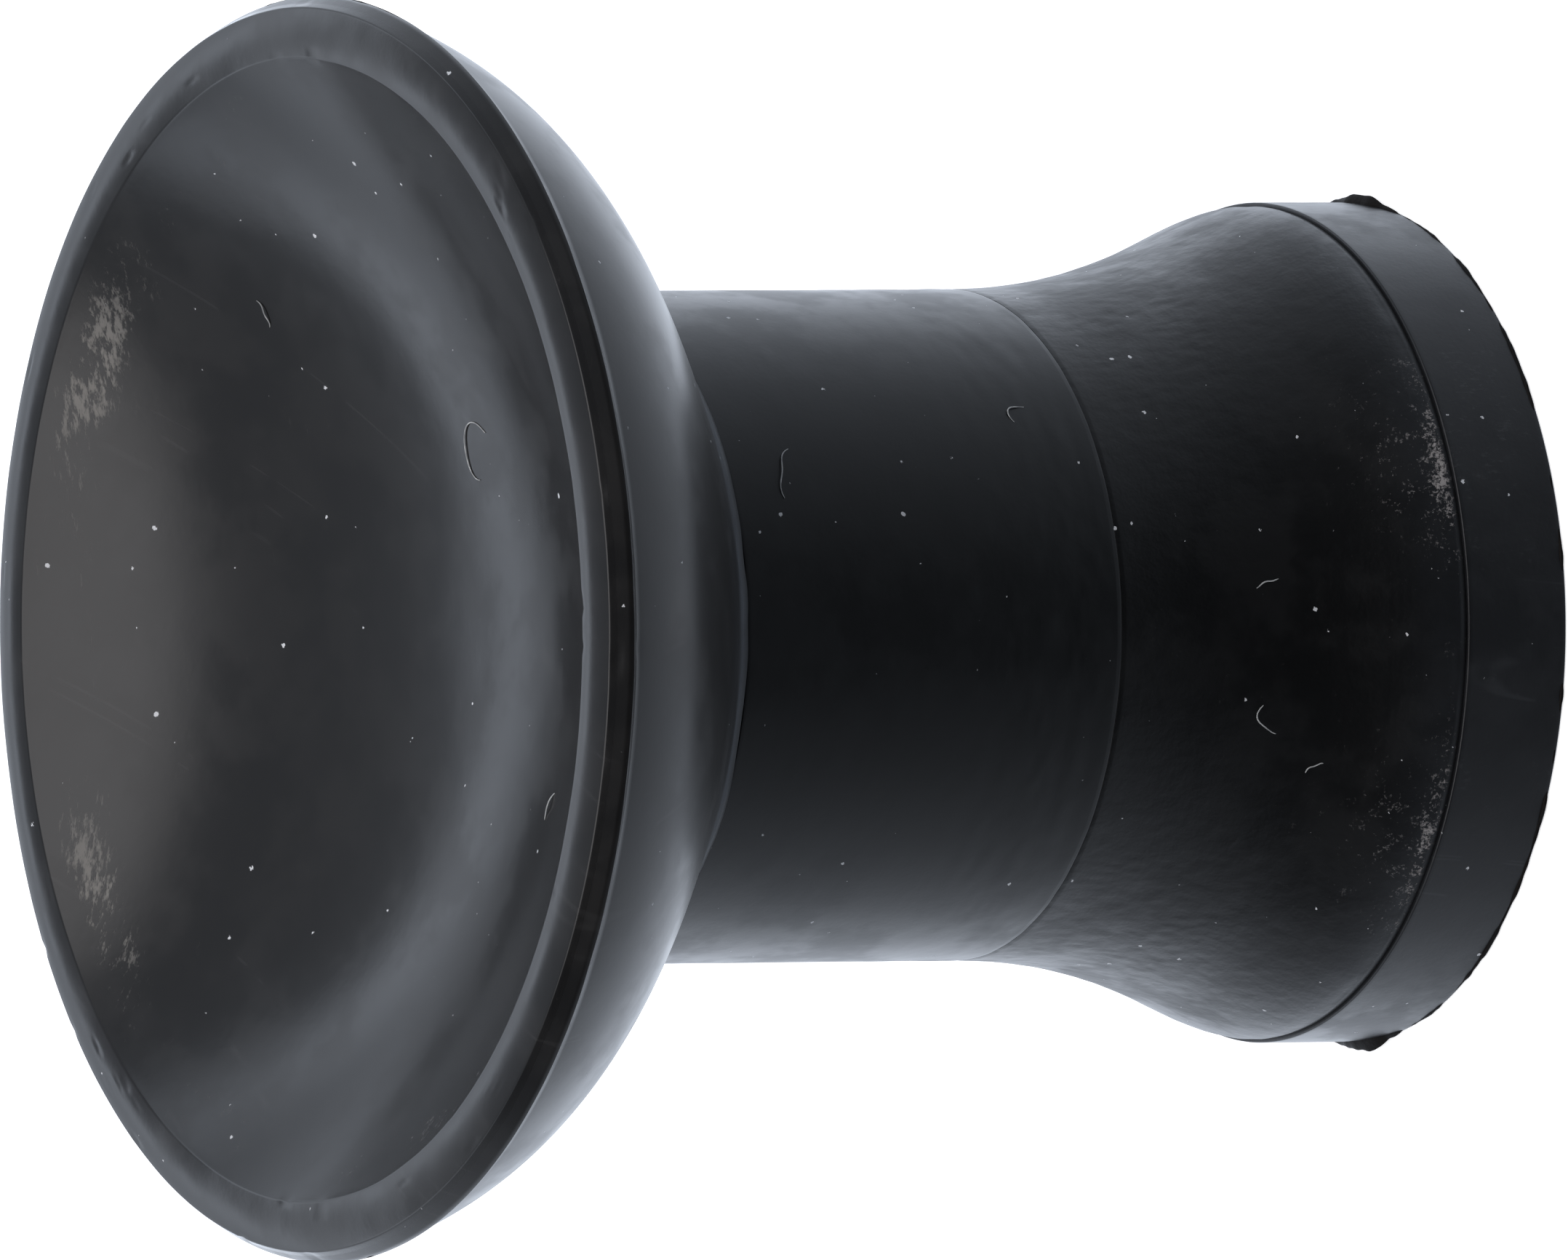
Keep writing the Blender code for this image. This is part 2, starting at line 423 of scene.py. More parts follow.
def rubberMaterial(name, ownLook):
    # black moulded rubber: patchy tone, then film, dry bloom, scratches and dust on top, over a fine grain;
    # on the cup the bloom mask also carries a painted reflection
    look = {**usualRubber, **ownLook}   # what a piece's own look doesn't give is the usual value
    material, tree, shader = newMaterial(name)
    shader.inputs["Specular IOR Level"].default_value = look["specular"]
    place = addNode(tree, "ShaderNodeTexCoord").outputs["Object"]
    bloomMask, glossMask, filmMask = (
        addNode(tree, "ShaderNodeAttribute", attribute_name=mask).outputs["Fac"]
        for mask in ("bloom", "gloss", "film"))

    grain = placeGroup(tree, rubberGrain, place, {
        "Skin Scale": look["skinScale"], "Grain Scale": look["grainScale"],
        "Grain Share": look["grainShare"]})
    specks = placeGroup(tree, dustSpecks, place, {
        "Cell Scale": look["speckCells"], "Spot Size": look["speckSize"], "Share": look["speckShare"]})
    bloom = placeGroup(tree, dryBloom, place, {
        "Patch Scale": look["bloomPatches"], "Streak": look["bloomStreak"], "Amount": bloomMask})

    colour = mixColour(tree, grain.outputs["Patches"], look["dark"], look["light"])
    wisps = mathNode(tree, "ADD", 0.45, product(tree, grain.outputs["Height"], 0.9))
    film = product(tree, filmMask, wisps, clamp=True)
    colour = mixColour(tree, film, colour, look["filmColour"])
    colour = mixColour(tree, product(tree, bloom.outputs["Mask"], look["bloomCover"]), colour,
                       look["bloomColour"])
    rough = spread(tree, grain.outputs["Patches"], 0.0, 1.0, look["roughLow"], look["roughHigh"])
    rough = mathNode(tree, "SUBTRACT", rough, product(tree, glossMask, look["glossDrop"]))
    if look["scratchShare"] > 0:
        scratches = placeGroup(tree, hairScratches, place, {
            "Spacing Scale": look["scratchSpacing"], "Share": look["scratchShare"]})
        cover = product(tree, scratches.outputs["Mask"], look["scratchCover"])
        colour = mixColour(tree, cover, colour, look["scratchColour"])
    dust = product(tree, specks.outputs["Mask"], look["speckCover"])
    colour = mixColour(tree, dust, colour, look["dustColour"])
    tree.links.new(colour, shader.inputs["Base Color"])

    rough = mathNode(tree, "ADD", rough, product(tree, bloom.outputs["Mask"], 0.25))
    rough = mathNode(tree, "ADD", rough, product(tree, dust, 0.4), clamp=True)
    tree.links.new(rough, shader.inputs["Roughness"])

    height = mathNode(tree, "ADD", grain.outputs["Height"],
                      product(tree, bloom.outputs["Mask"], look["bloomRelief"]))
    addBump(tree, shader, height, 1.0, look["grainDepth"])
    return material


# Outline formulas shared by the pieces and by the lint that lies on them

cupShape = {
    "dishRadius": 13.55,   # where the dish meets the lip
    "dishEdge": 28.94,   # height there
    "dishDepth": 4.99,
    "dishPower": 2.5,   # 2 is a parabola, more flattens the middle
    "ridgeFillet": 0.13,
    "creaseRoom": 0.10,   # how far inside the ridge the dish gives way to the crease's fillet
    "lipRound": 2.6,   # radius of the lip's crown
    "crownEnd": 0.26,   # how far inside the widest circle the crown ends in a corner
    "crownEndSlope": 16.3,   # slope there, in degrees
    "bevelFoot": 28.42,   # height where the sloping edge turns upright
    "edgeFoot": 28.33,   # height of the lip's lower edge
    "edgeFillets": (0.09, 0.30, 0.06),   # at the corner, the bevel's foot and the lower edge
    "notch": (0.16, 0.13),   # how far the bell starts inside and below that edge
    "lipTop": 28.985,
    "ridgeRise": 0.35,   # of the frame's ridge above the widest circle
    "angleAtRim": 19.3,   # of the bell from the axis, and the same at the neck
    "angleAtNeck": 55.0,
    "pulls": (0.38, 0.45),   # how long the bell holds each angle, as shares of its length
    "footStep": 0.27,   # how far the bell's foot stands out from the neck, and how high it is
    "footRound": 0.2,
    "footLean": (0.12, 0.09),   # from that step's corner to where the bell's curve begins
    "around": 384,
}
ridgeRadius = cupShape["dishRadius"]
rimHeight = ridgeHeight - cupShape["ridgeRise"]

flareShape = {"hollow": 15.8, "shoulder": 2.2, "blend": 0.8, "around": 560}
flareTurn = math.acos(1 - (baseRadius - neckRadius) / (flareShape["hollow"] + flareShape["shoulder"]))


def dishHeight(radius):
    # edge height less the depth times (1 minus the radius share raised to the power)
    share = (radius / ridgeRadius) ** cupShape["dishPower"]
    return cupShape["dishEdge"] - cupShape["dishDepth"] * (1 - share)


def flareRadius(height):
    # the two arcs of the flare averaged over a short window, so that one runs softly into the other
    shifts = np.linspace(-flareShape["blend"], flareShape["blend"], 9)
    return np.mean([flareArcs(height + shift) for shift in shifts], 0)


def flareArcs(height):
    # a hollow arc tangent to the neck, then a round shoulder tangent to the band
    bend, turn = flareShape["hollow"], flareShape["shoulder"]
    drop = np.clip(collarLine - height, 0, None)
    knee = bend * math.sin(flareTurn)
    hollow = neckRadius + bend - np.sqrt(bend ** 2 - np.clip(drop, 0, knee) ** 2)
    rise = np.clip(height - (bandLine - halfGap), 0, turn * math.sin(flareTurn))
    shoulder = baseRadius - turn + np.sqrt(turn ** 2 - rise ** 2)
    return np.where(drop < knee, hollow, shoulder)


# Sucker cup: dish, lip, bell and hidden stem in one moulding

def arc(centre, radius, fromSlope, toSlope, count):
    # centre + radius (sin, cos) of the slope, the lean of the surface in degrees: 0 faces up, 90 faces out
    slope = np.radians(np.linspace(fromSlope, toSlope, count))
    return np.stack([centre[0] + radius * np.sin(slope), centre[1] + radius * np.cos(slope)], axis=1)


def cupProfile():
    # dish by its power formula, a crease, the lip's crown as an arc down to its corner, the sloping edge,
    # the bell as a cubic to the foot, and straight sides for the hidden stem
    s = cupShape
    crown, turn = s["lipRound"], math.radians(s["crownEndSlope"])
    cornerRadius = rimRadius - s["crownEnd"]
    crownCentre = (cornerRadius - crown * math.sin(turn), s["lipTop"] - crown)
    corner = (cornerRadius, crownCentre[1] + crown * math.cos(turn))
    ridge = arc(crownCentre, crown, -math.degrees(math.asin((crownCentre[0] - ridgeRadius) / crown)), -8, 3)
    dishEnd = ridgeRadius - s["creaseRoom"]
    dishRadii = dishEnd * np.linspace(0, 1, 100) ** 0.85
    dish = np.stack([dishRadii, dishHeight(dishRadii)], axis=1)
    crease = rounded([(dish[-1][0], dish[-1][1], 0), (ridge[0][0], ridge[0][1], s["ridgeFillet"]),
                      (ridge[1][0], ridge[1][1], 0)], arcSteps=8, spacing=0.05)
    land = arc(crownCentre, crown, -7, s["crownEndSlope"] - 1.5, 20)
    notch = np.array([rimRadius - s["notch"][0], s["edgeFoot"] - s["notch"][1]])
    edge = rounded([
        (land[-1][0], land[-1][1], 0),
        (corner[0], corner[1], s["edgeFillets"][0]),
        (rimRadius, s["bevelFoot"], s["edgeFillets"][1]),
        (rimRadius, s["edgeFoot"], s["edgeFillets"][2]),
        (notch[0], notch[1], 0),
    ], arcSteps=9, spacing=0.05)
    lip = joined(crease, land, edge)
    foot = np.array([neckRadius, neckLine]) + s["footStep"] + np.array(s["footLean"])
    reach = np.linalg.norm(notch - foot)
    ways = []
    for pull, angle in zip(s["pulls"], (s["angleAtRim"], s["angleAtNeck"])):
        lean = math.radians(angle)
        ways.append((-reach * pull * math.sin(lean), -reach * pull * math.cos(lean)))
    bell = hermite(notch, ways[0], foot, ways[1], 76)
    under = rounded([
        (foot[0], foot[1], 0),
        (neckRadius + s["footStep"], neckLine + s["footStep"], s["footRound"]),
        (neckRadius + 0.06, neckLine + 0.02, 0.05),
        (neckRadius - 0.05, neckLine, 0.02),
        (coreRadius, neckLine, 0.1),
        (coreRadius, bushTop + 2 * halfGap, 0.1),
        (0.0, bushTop + 2 * halfGap, 0),
    ], arcSteps=8, spacing=0.12)
    return joined(dish, lip, bell, under)


def cupRelief(points, degrees):
    # moulding unevenness: a long soft wave everywhere, plus a slight wander and a few nicks times the lip's
    # share, plus a wavering edge times the foot's share
    radius = fromAxis(points)
    shown = ramp(points[..., 2], neckLine - 0.5, neckLine + 0.1)
    wave = 0.006 * softNoise(points, 3.4, 11) + 0.0012 * layeredNoise(points, 0.9, 2, 12)
    onLip = ramp(radius, ridgeRadius - 0.4, ridgeRadius)
    onLip = onLip * ramp(points[..., 2], rimHeight - 0.7, rimHeight - 0.3)
    ringPoints = drawnOut(points, 0.2)
    wander = 0.008 * softNoise(ringPoints, 1.6, 13) + 0.003 * softNoise(ringPoints, 0.5, 15)
    nicks = -0.030 * ramp(softNoise(ringPoints, 0.45, 14), 0.66, 0.9)
    onFoot = hump(points[..., 2], neckLine + 0.2, 0.3) * ramp(-radius, -9.2, -8.6)
    foot = 0.06 * softNoise(ringPoints, 2.2, 16) + 0.03 * softNoise(ringPoints, 0.8, 17)
    return shown * (wave + onLip * (wander + nicks) + onFoot * foot)


def cupBloomAndReflection(points, angle):
    # chalky streaks in a faint ring under the ridge, plus a painted reflection: two strong warm patches high
    # on the dish's wall, on both sides of its back, where the far wall catches the light
    radius = fromAxis(points)
    inDish = inTheDish(points, radius)
    ring = ramp(radius, 11.9, 12.6) * ramp(-radius, -13.5, -13.0)
    # painted reflection: the two strong warm patches on the dish's far wall
    back = 0.95 * hump(angleFrom(angle, 61), 0, 11) + 0.85 * hump(angleFrom(angle, 119), 0, 11)
    rest = 0.30 * hump(angleFrom(angle, -70), 0, 22) + 0.30 * hump(angleFrom(angle, -150), 0, 25) + 0.12
    return inDish * ring * (back + rest) + 0.05


def cupFilm(points, angle):
    # dust that has settled in the angle of the foot
    height = points[:, 2] - neckLine
    outside = fromAxis(points) > neckRadius
    return (0.85 * hump(height, 0.40, 0.30) + 0.16 * hump(height, 1.0, 0.9)) * outside


def cupGloss(points, angle):
    # the sucking face and the crown of the lip came off a polished mould
    radius = fromAxis(points)
    return np.where(inTheDish(points, radius) | (points[:, 2] > rimHeight + 0.1), 1.0, 0.15)


def inTheDish(points, radius):
    # inside the ridge and no lower than the dish's own curve
    return (points[:, 2] > dishHeight(np.minimum(radius, ridgeRadius)) - 0.05) & (radius < ridgeRadius)


cupRubber = rubberMaterial("cup_rubber", {
    "dark": (0.0105, 0.0098, 0.0095, 1), "light": (0.0150, 0.0138, 0.0130, 1),
    # the bloom colour here is partly chalk and partly a painted reflection on the dish's far wall
    "bloomColour": (0.42, 0.39, 0.35, 1), "bloomCover": 0.55, "bloomPatches": 620.0,
    "bloomStreak": (0.12, 1.0, 1.0), "bloomRelief": 0.6,
    "scratchColour": (0.06, 0.058, 0.057, 1), "scratchCover": 0.3,
    "scratchSpacing": 600.0, "scratchShare": 0.22,
    "filmColour": (0.12, 0.13, 0.145, 1),
    "speckCells": 1300.0, "speckSize": 0.070, "speckShare": 0.75,
    "roughLow": 0.30, "roughHigh": 0.36, "glossDrop": 0.10,
    "skinScale": 700.0, "grainShare": 0.20, "grainDepth": 0.004,
})
cup = turnedPiece("suctionCup", cupProfile(), cupShape["around"], cupRelief,
                  masks=(("bloom", cupBloomAndReflection), ("film", cupFilm), ("gloss", cupGloss)))
finishPiece(cup, cupRubber, "cup_rubber", "suction_cup")


# Neck sleeve: plain tube between the bell and the flare

sleeveShape = {"around": 384, "seamWidth": 0.12, "seamDepth": 0.013}


def sleeveProfile():
    # a straight tube, whose foot leans in a little to make a shallow soft groove at the flare
    s = sleeveShape
    top, foot = neckLine, collarLine
    bore = coreRadius + coreGap
    outer = rounded([
        (bore, top, 0),
        (neckRadius, top, 0.02),
        (neckRadius, foot + s["seamWidth"], 0.3),
        (neckRadius - s["seamDepth"], foot, 0.01),
        (bore, foot, 0),
    ], arcSteps=5, spacing=0.085)
    inner = straight((bore, foot), (bore, top), 8)[1:-1]
    return joined(outer, inner)


def sleeveRelief(points, degrees):
    # a soft sag, plus fine ripples that grow towards the flare, on the outside only
    shown = ramp(fromAxis(points), neckRadius - 0.3, neckRadius - 0.1)
    nearFlare = ramp(-points[..., 2], -(collarLine + 4.5), -(collarLine + 0.5))
    ripple = layeredNoise(drawnOut(points, 2.2), 0.8, 2, 22) * (0.0012 + 0.0055 * nearFlare)
    return shown * (0.008 * softNoise(points, 3.0, 21) + ripple)


def neckBloom(points, angle):
    # a trace of chalk that fades out 2.5 mm above the flare
    return 0.12 * ramp(-points[:, 2], -(collarLine + 2.5), -collarLine)


def plainGloss(points, angle):
    # no polish anywhere
    return np.zeros(len(points))


sleeveRubber = rubberMaterial("sleeve_rubber", {
    "dark": (0.0017, 0.0019, 0.0021, 1), "light": (0.0029, 0.0032, 0.0036, 1),
    "bloomColour": (0.10, 0.10, 0.10, 1), "bloomCover": 0.35, "bloomPatches": 700.0, "bloomRelief": 0.3,
    "speckCells": 1600.0, "speckSize": 0.075, "speckShare": 0.8, "speckCover": 0.95,
    "roughLow": 0.33, "roughHigh": 0.41,
    "skinScale": 800.0, "grainShare": 0.25, "grainDepth": 0.006,
})
sleeve = turnedPiece("neckSleeve", sleeveProfile(), sleeveShape["around"], sleeveRelief, ring=True,
                     masks=(("bloom", neckBloom), ("gloss", plainGloss)))
finishPiece(sleeve, sleeveRubber, "sleeve_rubber", "neck_sleeve")


# Flared collar: hollow flare with wrinkled skin, over the band's spigot

collarShape = {
    "seamWidth": 0.12, "seamDepth": 0.013,   # line at the neck
    "grooveWidth": 0.18, "grooveRound": 0.22, "grooveDepth": 0.10,   # groove at the band
    "spigotWall": 1.6,
}


def collarProfile():
    # the flare's radius formula down to the groove, then in to the spigot and back up the bore
    s = collarShape
    top, foot = collarLine, bandLine
    bore, spigot = coreRadius + coreGap, baseRadius - s["spigotWall"] - 0.05
    heights = np.linspace(top - s["seamWidth"], foot + s["grooveWidth"], 112)
    outside = np.stack([flareRadius(heights), heights], axis=1)
    rim = rounded([(bore, top, 0), (neckRadius - s["seamDepth"], top, 0.01), tuple(outside[0]) + (0.3,),
                   tuple(outside[2]) + (0,)], 5, 0.5)
    under = rounded([
        tuple(outside[-2]) + (0,),
        tuple(outside[-1]) + (s["grooveRound"],),
        (baseRadius - s["grooveDepth"], foot, 0.015),
        (spigot, foot, 0.05),
        (spigot, 0.0, 0.1),
        (bore, 0.0, 0.1),
    ], 5, 0.4)
    inner = straight((bore, 0.0), (bore, top), 12)[1:-1]
    return joined(rim, outside[3:-2], under, inner)


def collarRelief(points, degrees):
    # skin wrinkles drawn out along the axis, strongest on the upper flare at both sides, plus roughened
    # runs, a soft unevenness, and an edge that curls in at the groove
    shown = ramp(fromAxis(points), neckRadius - 0.25, neckRadius - 0.05)
    shown = shown * ramp(points[..., 2], bandLine - 0.05, bandLine + 0.3)
    sides = 0.25 + 0.75 * np.abs(np.cos(np.radians(degrees))) ** 1.5
    upper = 0.40 + 0.60 * hump(points[..., 2], collarLine - 2.6, 2.8)
    folded = 0.5 - np.abs(softNoise(drawnOut(points, 0.36), 0.21, 31))
    fine = layeredNoise(drawnOut(points, 0.5), 0.16, 1, 33)
    lumps = softNoise(points, 0.75, 34)
    wrinkle = sides * upper * (0.0135 * folded + 0.0042 * fine)
    rough = 0.006 * collarRoughness(points.reshape(-1, 3), degrees.reshape(-1)).reshape(degrees.shape)
    curl = -0.030 * hump(points[..., 2], bandLine + 0.15, 0.22)
    curl = curl * (0.5 + layeredNoise(drawnOut(points, 0.2), 1.1, 2, 38))
    soft = 0.003 * lumps + 0.007 * softNoise(points, 2.6, 35)
    return shown * (wrinkle + rough * layeredNoise(points, 0.30, 2, 36) + soft + curl)


def collarRoughness(points, angle):
    # two runs just above the groove at the front, others round the back
    height = points[:, 2] - bandLine
    strip = ramp(height, 0.0, 0.12) * (0.50 * hump(height, 0.2, 0.4) + 0.42 * hump(height, 1.0, 1.5))
    runs = 0.95 * hump(angleFrom(angle, -68), 0, 14) + 0.85 * hump(angleFrom(angle, -122), 0, 15)
    return strip * (runs + 0.8 * hump(angleFrom(angle, 75), 0, 26) + 0.5 * hump(angleFrom(angle, 160), 0, 20))


def collarBloom(points, angle):
    # chalk caught in the roughened runs above the groove, and a thin trace of it everywhere
    height = points[:, 2] - bandLine
    return collarRoughness(points, angle) + 0.14 * hump(height, 0.2, 0.5) + 0.04


def collarFilm(points, angle):
    # a thin dusty edge along the groove
    return 0.32 * hump(points[:, 2] - bandLine, 0.4, 0.9)


collarRubber = rubberMaterial("collar_rubber", {
    "dark": (0.0014, 0.0013, 0.0014, 1), "light": (0.0029, 0.0027, 0.0028, 1),
    "bloomColour": (0.52, 0.48, 0.46, 1), "bloomCover": 0.9, "bloomPatches": 2400.0,
    "bloomStreak": (1.5, 1.5, 1.5), "bloomRelief": 1.2,
    "speckCells": 1600.0, "speckSize": 0.078, "speckShare": 0.9,
    "roughLow": 0.36, "roughHigh": 0.46,
    "skinScale": 1800.0, "grainScale": 8000.0, "grainShare": 0.35, "grainDepth": 0.011,
})
collar = turnedPiece("flaredCollar", collarProfile(), flareShape["around"], collarRelief, ring=True,
                     masks=(("bloom", collarBloom), ("film", collarFilm), ("gloss", plainGloss)))
finishPiece(collar, collarRubber, "collar_rubber", "flared_collar")


# End band: smooth ring with a sharp end edge

bandShape = {"around": 384, "wall": 1.6, "topFillet": 0.05, "endFillet": 0.05}


def bandProfile():
    # a plain rectangle with two small fillets outside
    s = bandShape
    bore = baseRadius - s["wall"]
    top = bandLine
    outer = rounded([
        (bore, top, 0),
        (baseRadius, top, s["topFillet"]),
        (baseRadius, 0.0, s["endFillet"]),
        (bore, 0.0, 0),
    ], 6, 0.09)
    inner = straight((bore, 0.0), (bore, top), 5)[1:-1]
    return joined(outer, inner)


def bandRelief(points, degrees):
    # a slight long wave plus shallow dents, on the outside only
    shown = ramp(fromAxis(points), baseRadius - 0.4, baseRadius - 0.1)
    shown = shown * ramp(points[..., 2], 0.02, 0.2)
    dents = layeredNoise(drawnOut(points, 0.7), 0.8, 2, 42)
    return shown * (0.007 * softNoise(points, 2.8, 41) + 0.0022 * dents)


def bandBloom(points, angle):
    # an even trace of chalk, twice as much in one run at the front
    return 0.25 + 0.25 * hump(angleFrom(angle, -60), 0, 16)


bandRubber = rubberMaterial("band_rubber", {
    "dark": (0.0104, 0.0108, 0.0122, 1), "light": (0.0150, 0.0156, 0.0174, 1),
    "bloomColour": (0.12, 0.122, 0.125, 1), "bloomCover": 0.4, "bloomPatches": 800.0,
    "bloomStreak": (1.0, 1.0, 0.4),
    "scratchColour": (0.06, 0.062, 0.066, 1), "scratchCover": 0.4,
    "scratchSpacing": 900.0, "scratchShare": 0.25,
    "speckCells": 1500.0, "speckSize": 0.08, "speckShare": 0.7,
    "roughLow": 0.34, "roughHigh": 0.44,
    "skinScale": 1100.0, "grainShare": 0.30, "grainDepth": 0.007,
})
band = turnedPiece("endBand", bandProfile(), bandShape["around"], bandRelief, ring=True,
                   masks=(("bloom", bandBloom), ("gloss", plainGloss)))
finishPiece(band, bandRubber, "band_rubber", "end_band")


# Mould flash: a thin torn fin round the end edge, with a nub left on each side where the mould parted

flashShape = {
    "around": 900,
    "fin": 0.07,   # usual width of the fin
    "nub": 0.31,
    "nubAngles": (-4.0, 184.0),
    "nubSpread": 6.5,
    "seed": 51,
}


def flashPiece():
    # a lens-shaped section carried round the edge; its width is the fin plus a torn hump at each nub
    s = flashShape
    angle = np.linspace(0, 2 * math.pi, s["around"], endpoint=False)
    degrees = np.degrees(angle)
    edge = np.stack([np.cos(angle), np.sin(angle), np.zeros_like(angle)], axis=1) * baseRadius
    torn = layeredNoise(edge, 0.9, 3, s["seed"])
    nubs = sum(hump(angleFrom(degrees, a), 0, s["nubSpread"]) for a in s["nubAngles"])
    bites = 0.55 + 0.45 * np.clip(1.4 * layeredNoise(edge, 0.7, 2, s["seed"] + 7) + 0.4, -0.6, 1)
    width = np.clip(s["fin"] * (0.55 + 0.9 * torn), 0.004, None) + s["nub"] * nubs * bites
    thick = 0.022 + 0.045 * np.clip(0.5 + torn, 0, 1) + 0.14 * nubs * (0.7 + 0.3 * torn)
    rootHeight = 0.06 + 0.19 * nubs
    section = np.array([[-0.35, -1.0], [0.25, -0.85], [0.8, -0.5], [1.0, 0.0],
                        [0.8, 0.5], [0.25, 0.85], [-0.35, 1.0]])
    out = baseRadius - 0.02 + np.where(section[None, :, 0] < 0, 0.15 * section[None, :, 0],
                                       width[:, None] * section[None, :, 0])
    up = rootHeight[:, None] + thick[:, None] * section[None, :, 1]
    up = np.clip(up, 0.004, None)
    points = np.stack([out * np.cos(angle)[:, None], out * np.sin(angle)[:, None], up], axis=-1)
    count = len(section)
    index = np.arange(s["around"] * count).reshape(s["around"], count)
    onward = np.roll(index, -1, 0)
    quads = np.stack([index, onward, np.roll(onward, -1, 1), np.roll(index, -1, 1)], axis=-1)
    return fillMesh("mouldFlash", points.reshape(-1, 3), quads.reshape(-1, 4))


flashRubber = rubberMaterial("flash_rubber", {
    "dark": (0.0045, 0.0033, 0.0028, 1), "light": (0.0095, 0.0066, 0.0052, 1), "specular": 0.15,
    "bloomColour": (0.12, 0.11, 0.10, 1), "bloomCover": 0.4, "bloomPatches": 900.0,
    "speckCells": 1500.0, "speckSize": 0.07, "speckShare": 0.5,
    "roughLow": 0.50, "roughHigh": 0.65,
    "skinScale": 2400.0, "grainShare": 0.5, "grainDepth": 0.02,
})
flash = flashPiece()
finishPiece(flash, flashRubber, "band_rubber")


# Drive bush: drawn steel cup in the base socket

bushShape = {"around": 240, "bore": 4.5, "recess": 0.5, "floor": 13.0, "fillet": 0.18}


def bushProfile():
    # a cup of even wall with its mouth down, every corner filleted
    s = bushShape
    outer = rounded([
        (0.0, bushTop, 0),
        (coreRadius, bushTop, s["fillet"]),
        (coreRadius, s["recess"], 0.12),
        (s["bore"], s["recess"], 0.22),
        (s["bore"], s["floor"], s["fillet"]),
        (0.0, s["floor"], 0),
    ], 7, 0.35)
    return joined(outer)


def bushRelief(points, degrees):
    # draw lines along the bore: ridges that change round the circle and hardly at all along it
    inBore = ramp(-fromAxis(points), -4.7, -4.55) * ramp(-points[..., 2], -12.6, -12.2)
    lines = softNoise(drawnOut(points, 0.04), 0.35, 61)
    return inBore * 0.004 * lines


def steelMaterial():
    # dull drawn steel: lines stretched along the bore, brown stain in patches
    material, tree, shader = newMaterial("bush_steel")
    shader.inputs["Metallic"].default_value = 1.0
    place = addNode(tree, "ShaderNodeTexCoord").outputs["Object"]
    lines = noiseNode(tree, vectorNode(tree, "MULTIPLY", place, (1.0, 1.0, 0.03)), 6000.0, 3.0, 0.6)
    stain = noiseNode(tree, place, 420.0, 5.0, 0.65)
    stainMask = spread(tree, stain.outputs[0], 0.52, 0.70)
    colour = mixColour(tree, lines.outputs[0], (0.36, 0.355, 0.35, 1), (0.52, 0.515, 0.50, 1))
    colour = mixColour(tree, product(tree, stainMask, 0.55), colour, (0.16, 0.105, 0.07, 1))
    tree.links.new(colour, shader.inputs["Base Color"])
    rough = mathNode(tree, "ADD", spread(tree, lines.outputs[0], 0.3, 0.7, 0.26, 0.42),
                     product(tree, stainMask, 0.25))
    tree.links.new(rough, shader.inputs["Roughness"])
    addBump(tree, shader, lines.outputs[0], 0.6, 0.004)
    return material


bush = turnedPiece("driveBush", bushProfile(), bushShape["around"], bushRelief)
finishPiece(bush, steelMaterial(), "bush_steel", "drive_bush")


# Lint: short textile fibres lying on the rubber. "at" is (x, y) in the dish, or (angle, height) outside

lint = {
    "radius": 0.017,
    "steps": 40,
    "fibres": [
        {"on": "dish", "at": (4.6, -0.9), "length": 2.6, "heading": 60, "curl": 210},
        {"on": "dish", "at": (-3.9, -4.6), "length": 0.8, "heading": 130, "curl": 40},
        {"on": "dish", "at": (7.2, 6.4), "length": 0.7, "heading": -20, "curl": 60},
        {"on": "outside", "at": (-68, 19.9), "length": 1.5, "heading": 8, "curl": -60},
        {"on": "outside", "at": (-50, 12.6), "length": 0.9, "heading": 70, "curl": 150},
        {"on": "outside", "at": (-108, 6.9), "length": 1.0, "heading": 85, "curl": -120},
        {"on": "outside", "at": (-112, 5.7), "length": 0.5, "heading": 100, "curl": 60},
        {"on": "outside", "at": (-83, 7.0), "length": 0.6, "heading": 95, "curl": 30},
        {"on": "outside", "at": (35, 17.5), "length": 1.6, "heading": 40, "curl": 160},
        {"on": "outside", "at": (110, 14.2), "length": 1.2, "heading": -50, "curl": 90},
        {"on": "outside", "at": (150, 6.2), "length": 0.9, "heading": 20, "curl": -140},
        {"on": "outside", "at": (75, 4.6), "length": 0.7, "heading": 75, "curl": 50},
    ],
}
lintColour = (0.72, 0.72, 0.70, 1)


def onSurface(where, u, v):
    # where a flat (u, v) step lands on the dish or on the outside, with the way out of the surface there
    if where == "dish":
        radius = np.hypot(u, v)
        height = dishHeight(radius)
        slope = (dishHeight(radius + 0.01) - height) / 0.01
        out = np.stack([-slope * u / radius, -slope * v / radius, np.ones_like(u)], axis=-1)
        points = np.stack([u, v, height], axis=-1)
    else:
        radius = flareRadius(v)
        slope = (flareRadius(v + 0.01) - radius) / 0.01
        points = np.stack([radius * np.cos(u), radius * np.sin(u), v], axis=-1)
        out = np.stack([np.cos(u), np.sin(u), -slope], axis=-1)
    return points, out / np.linalg.norm(out, axis=-1, keepdims=True)


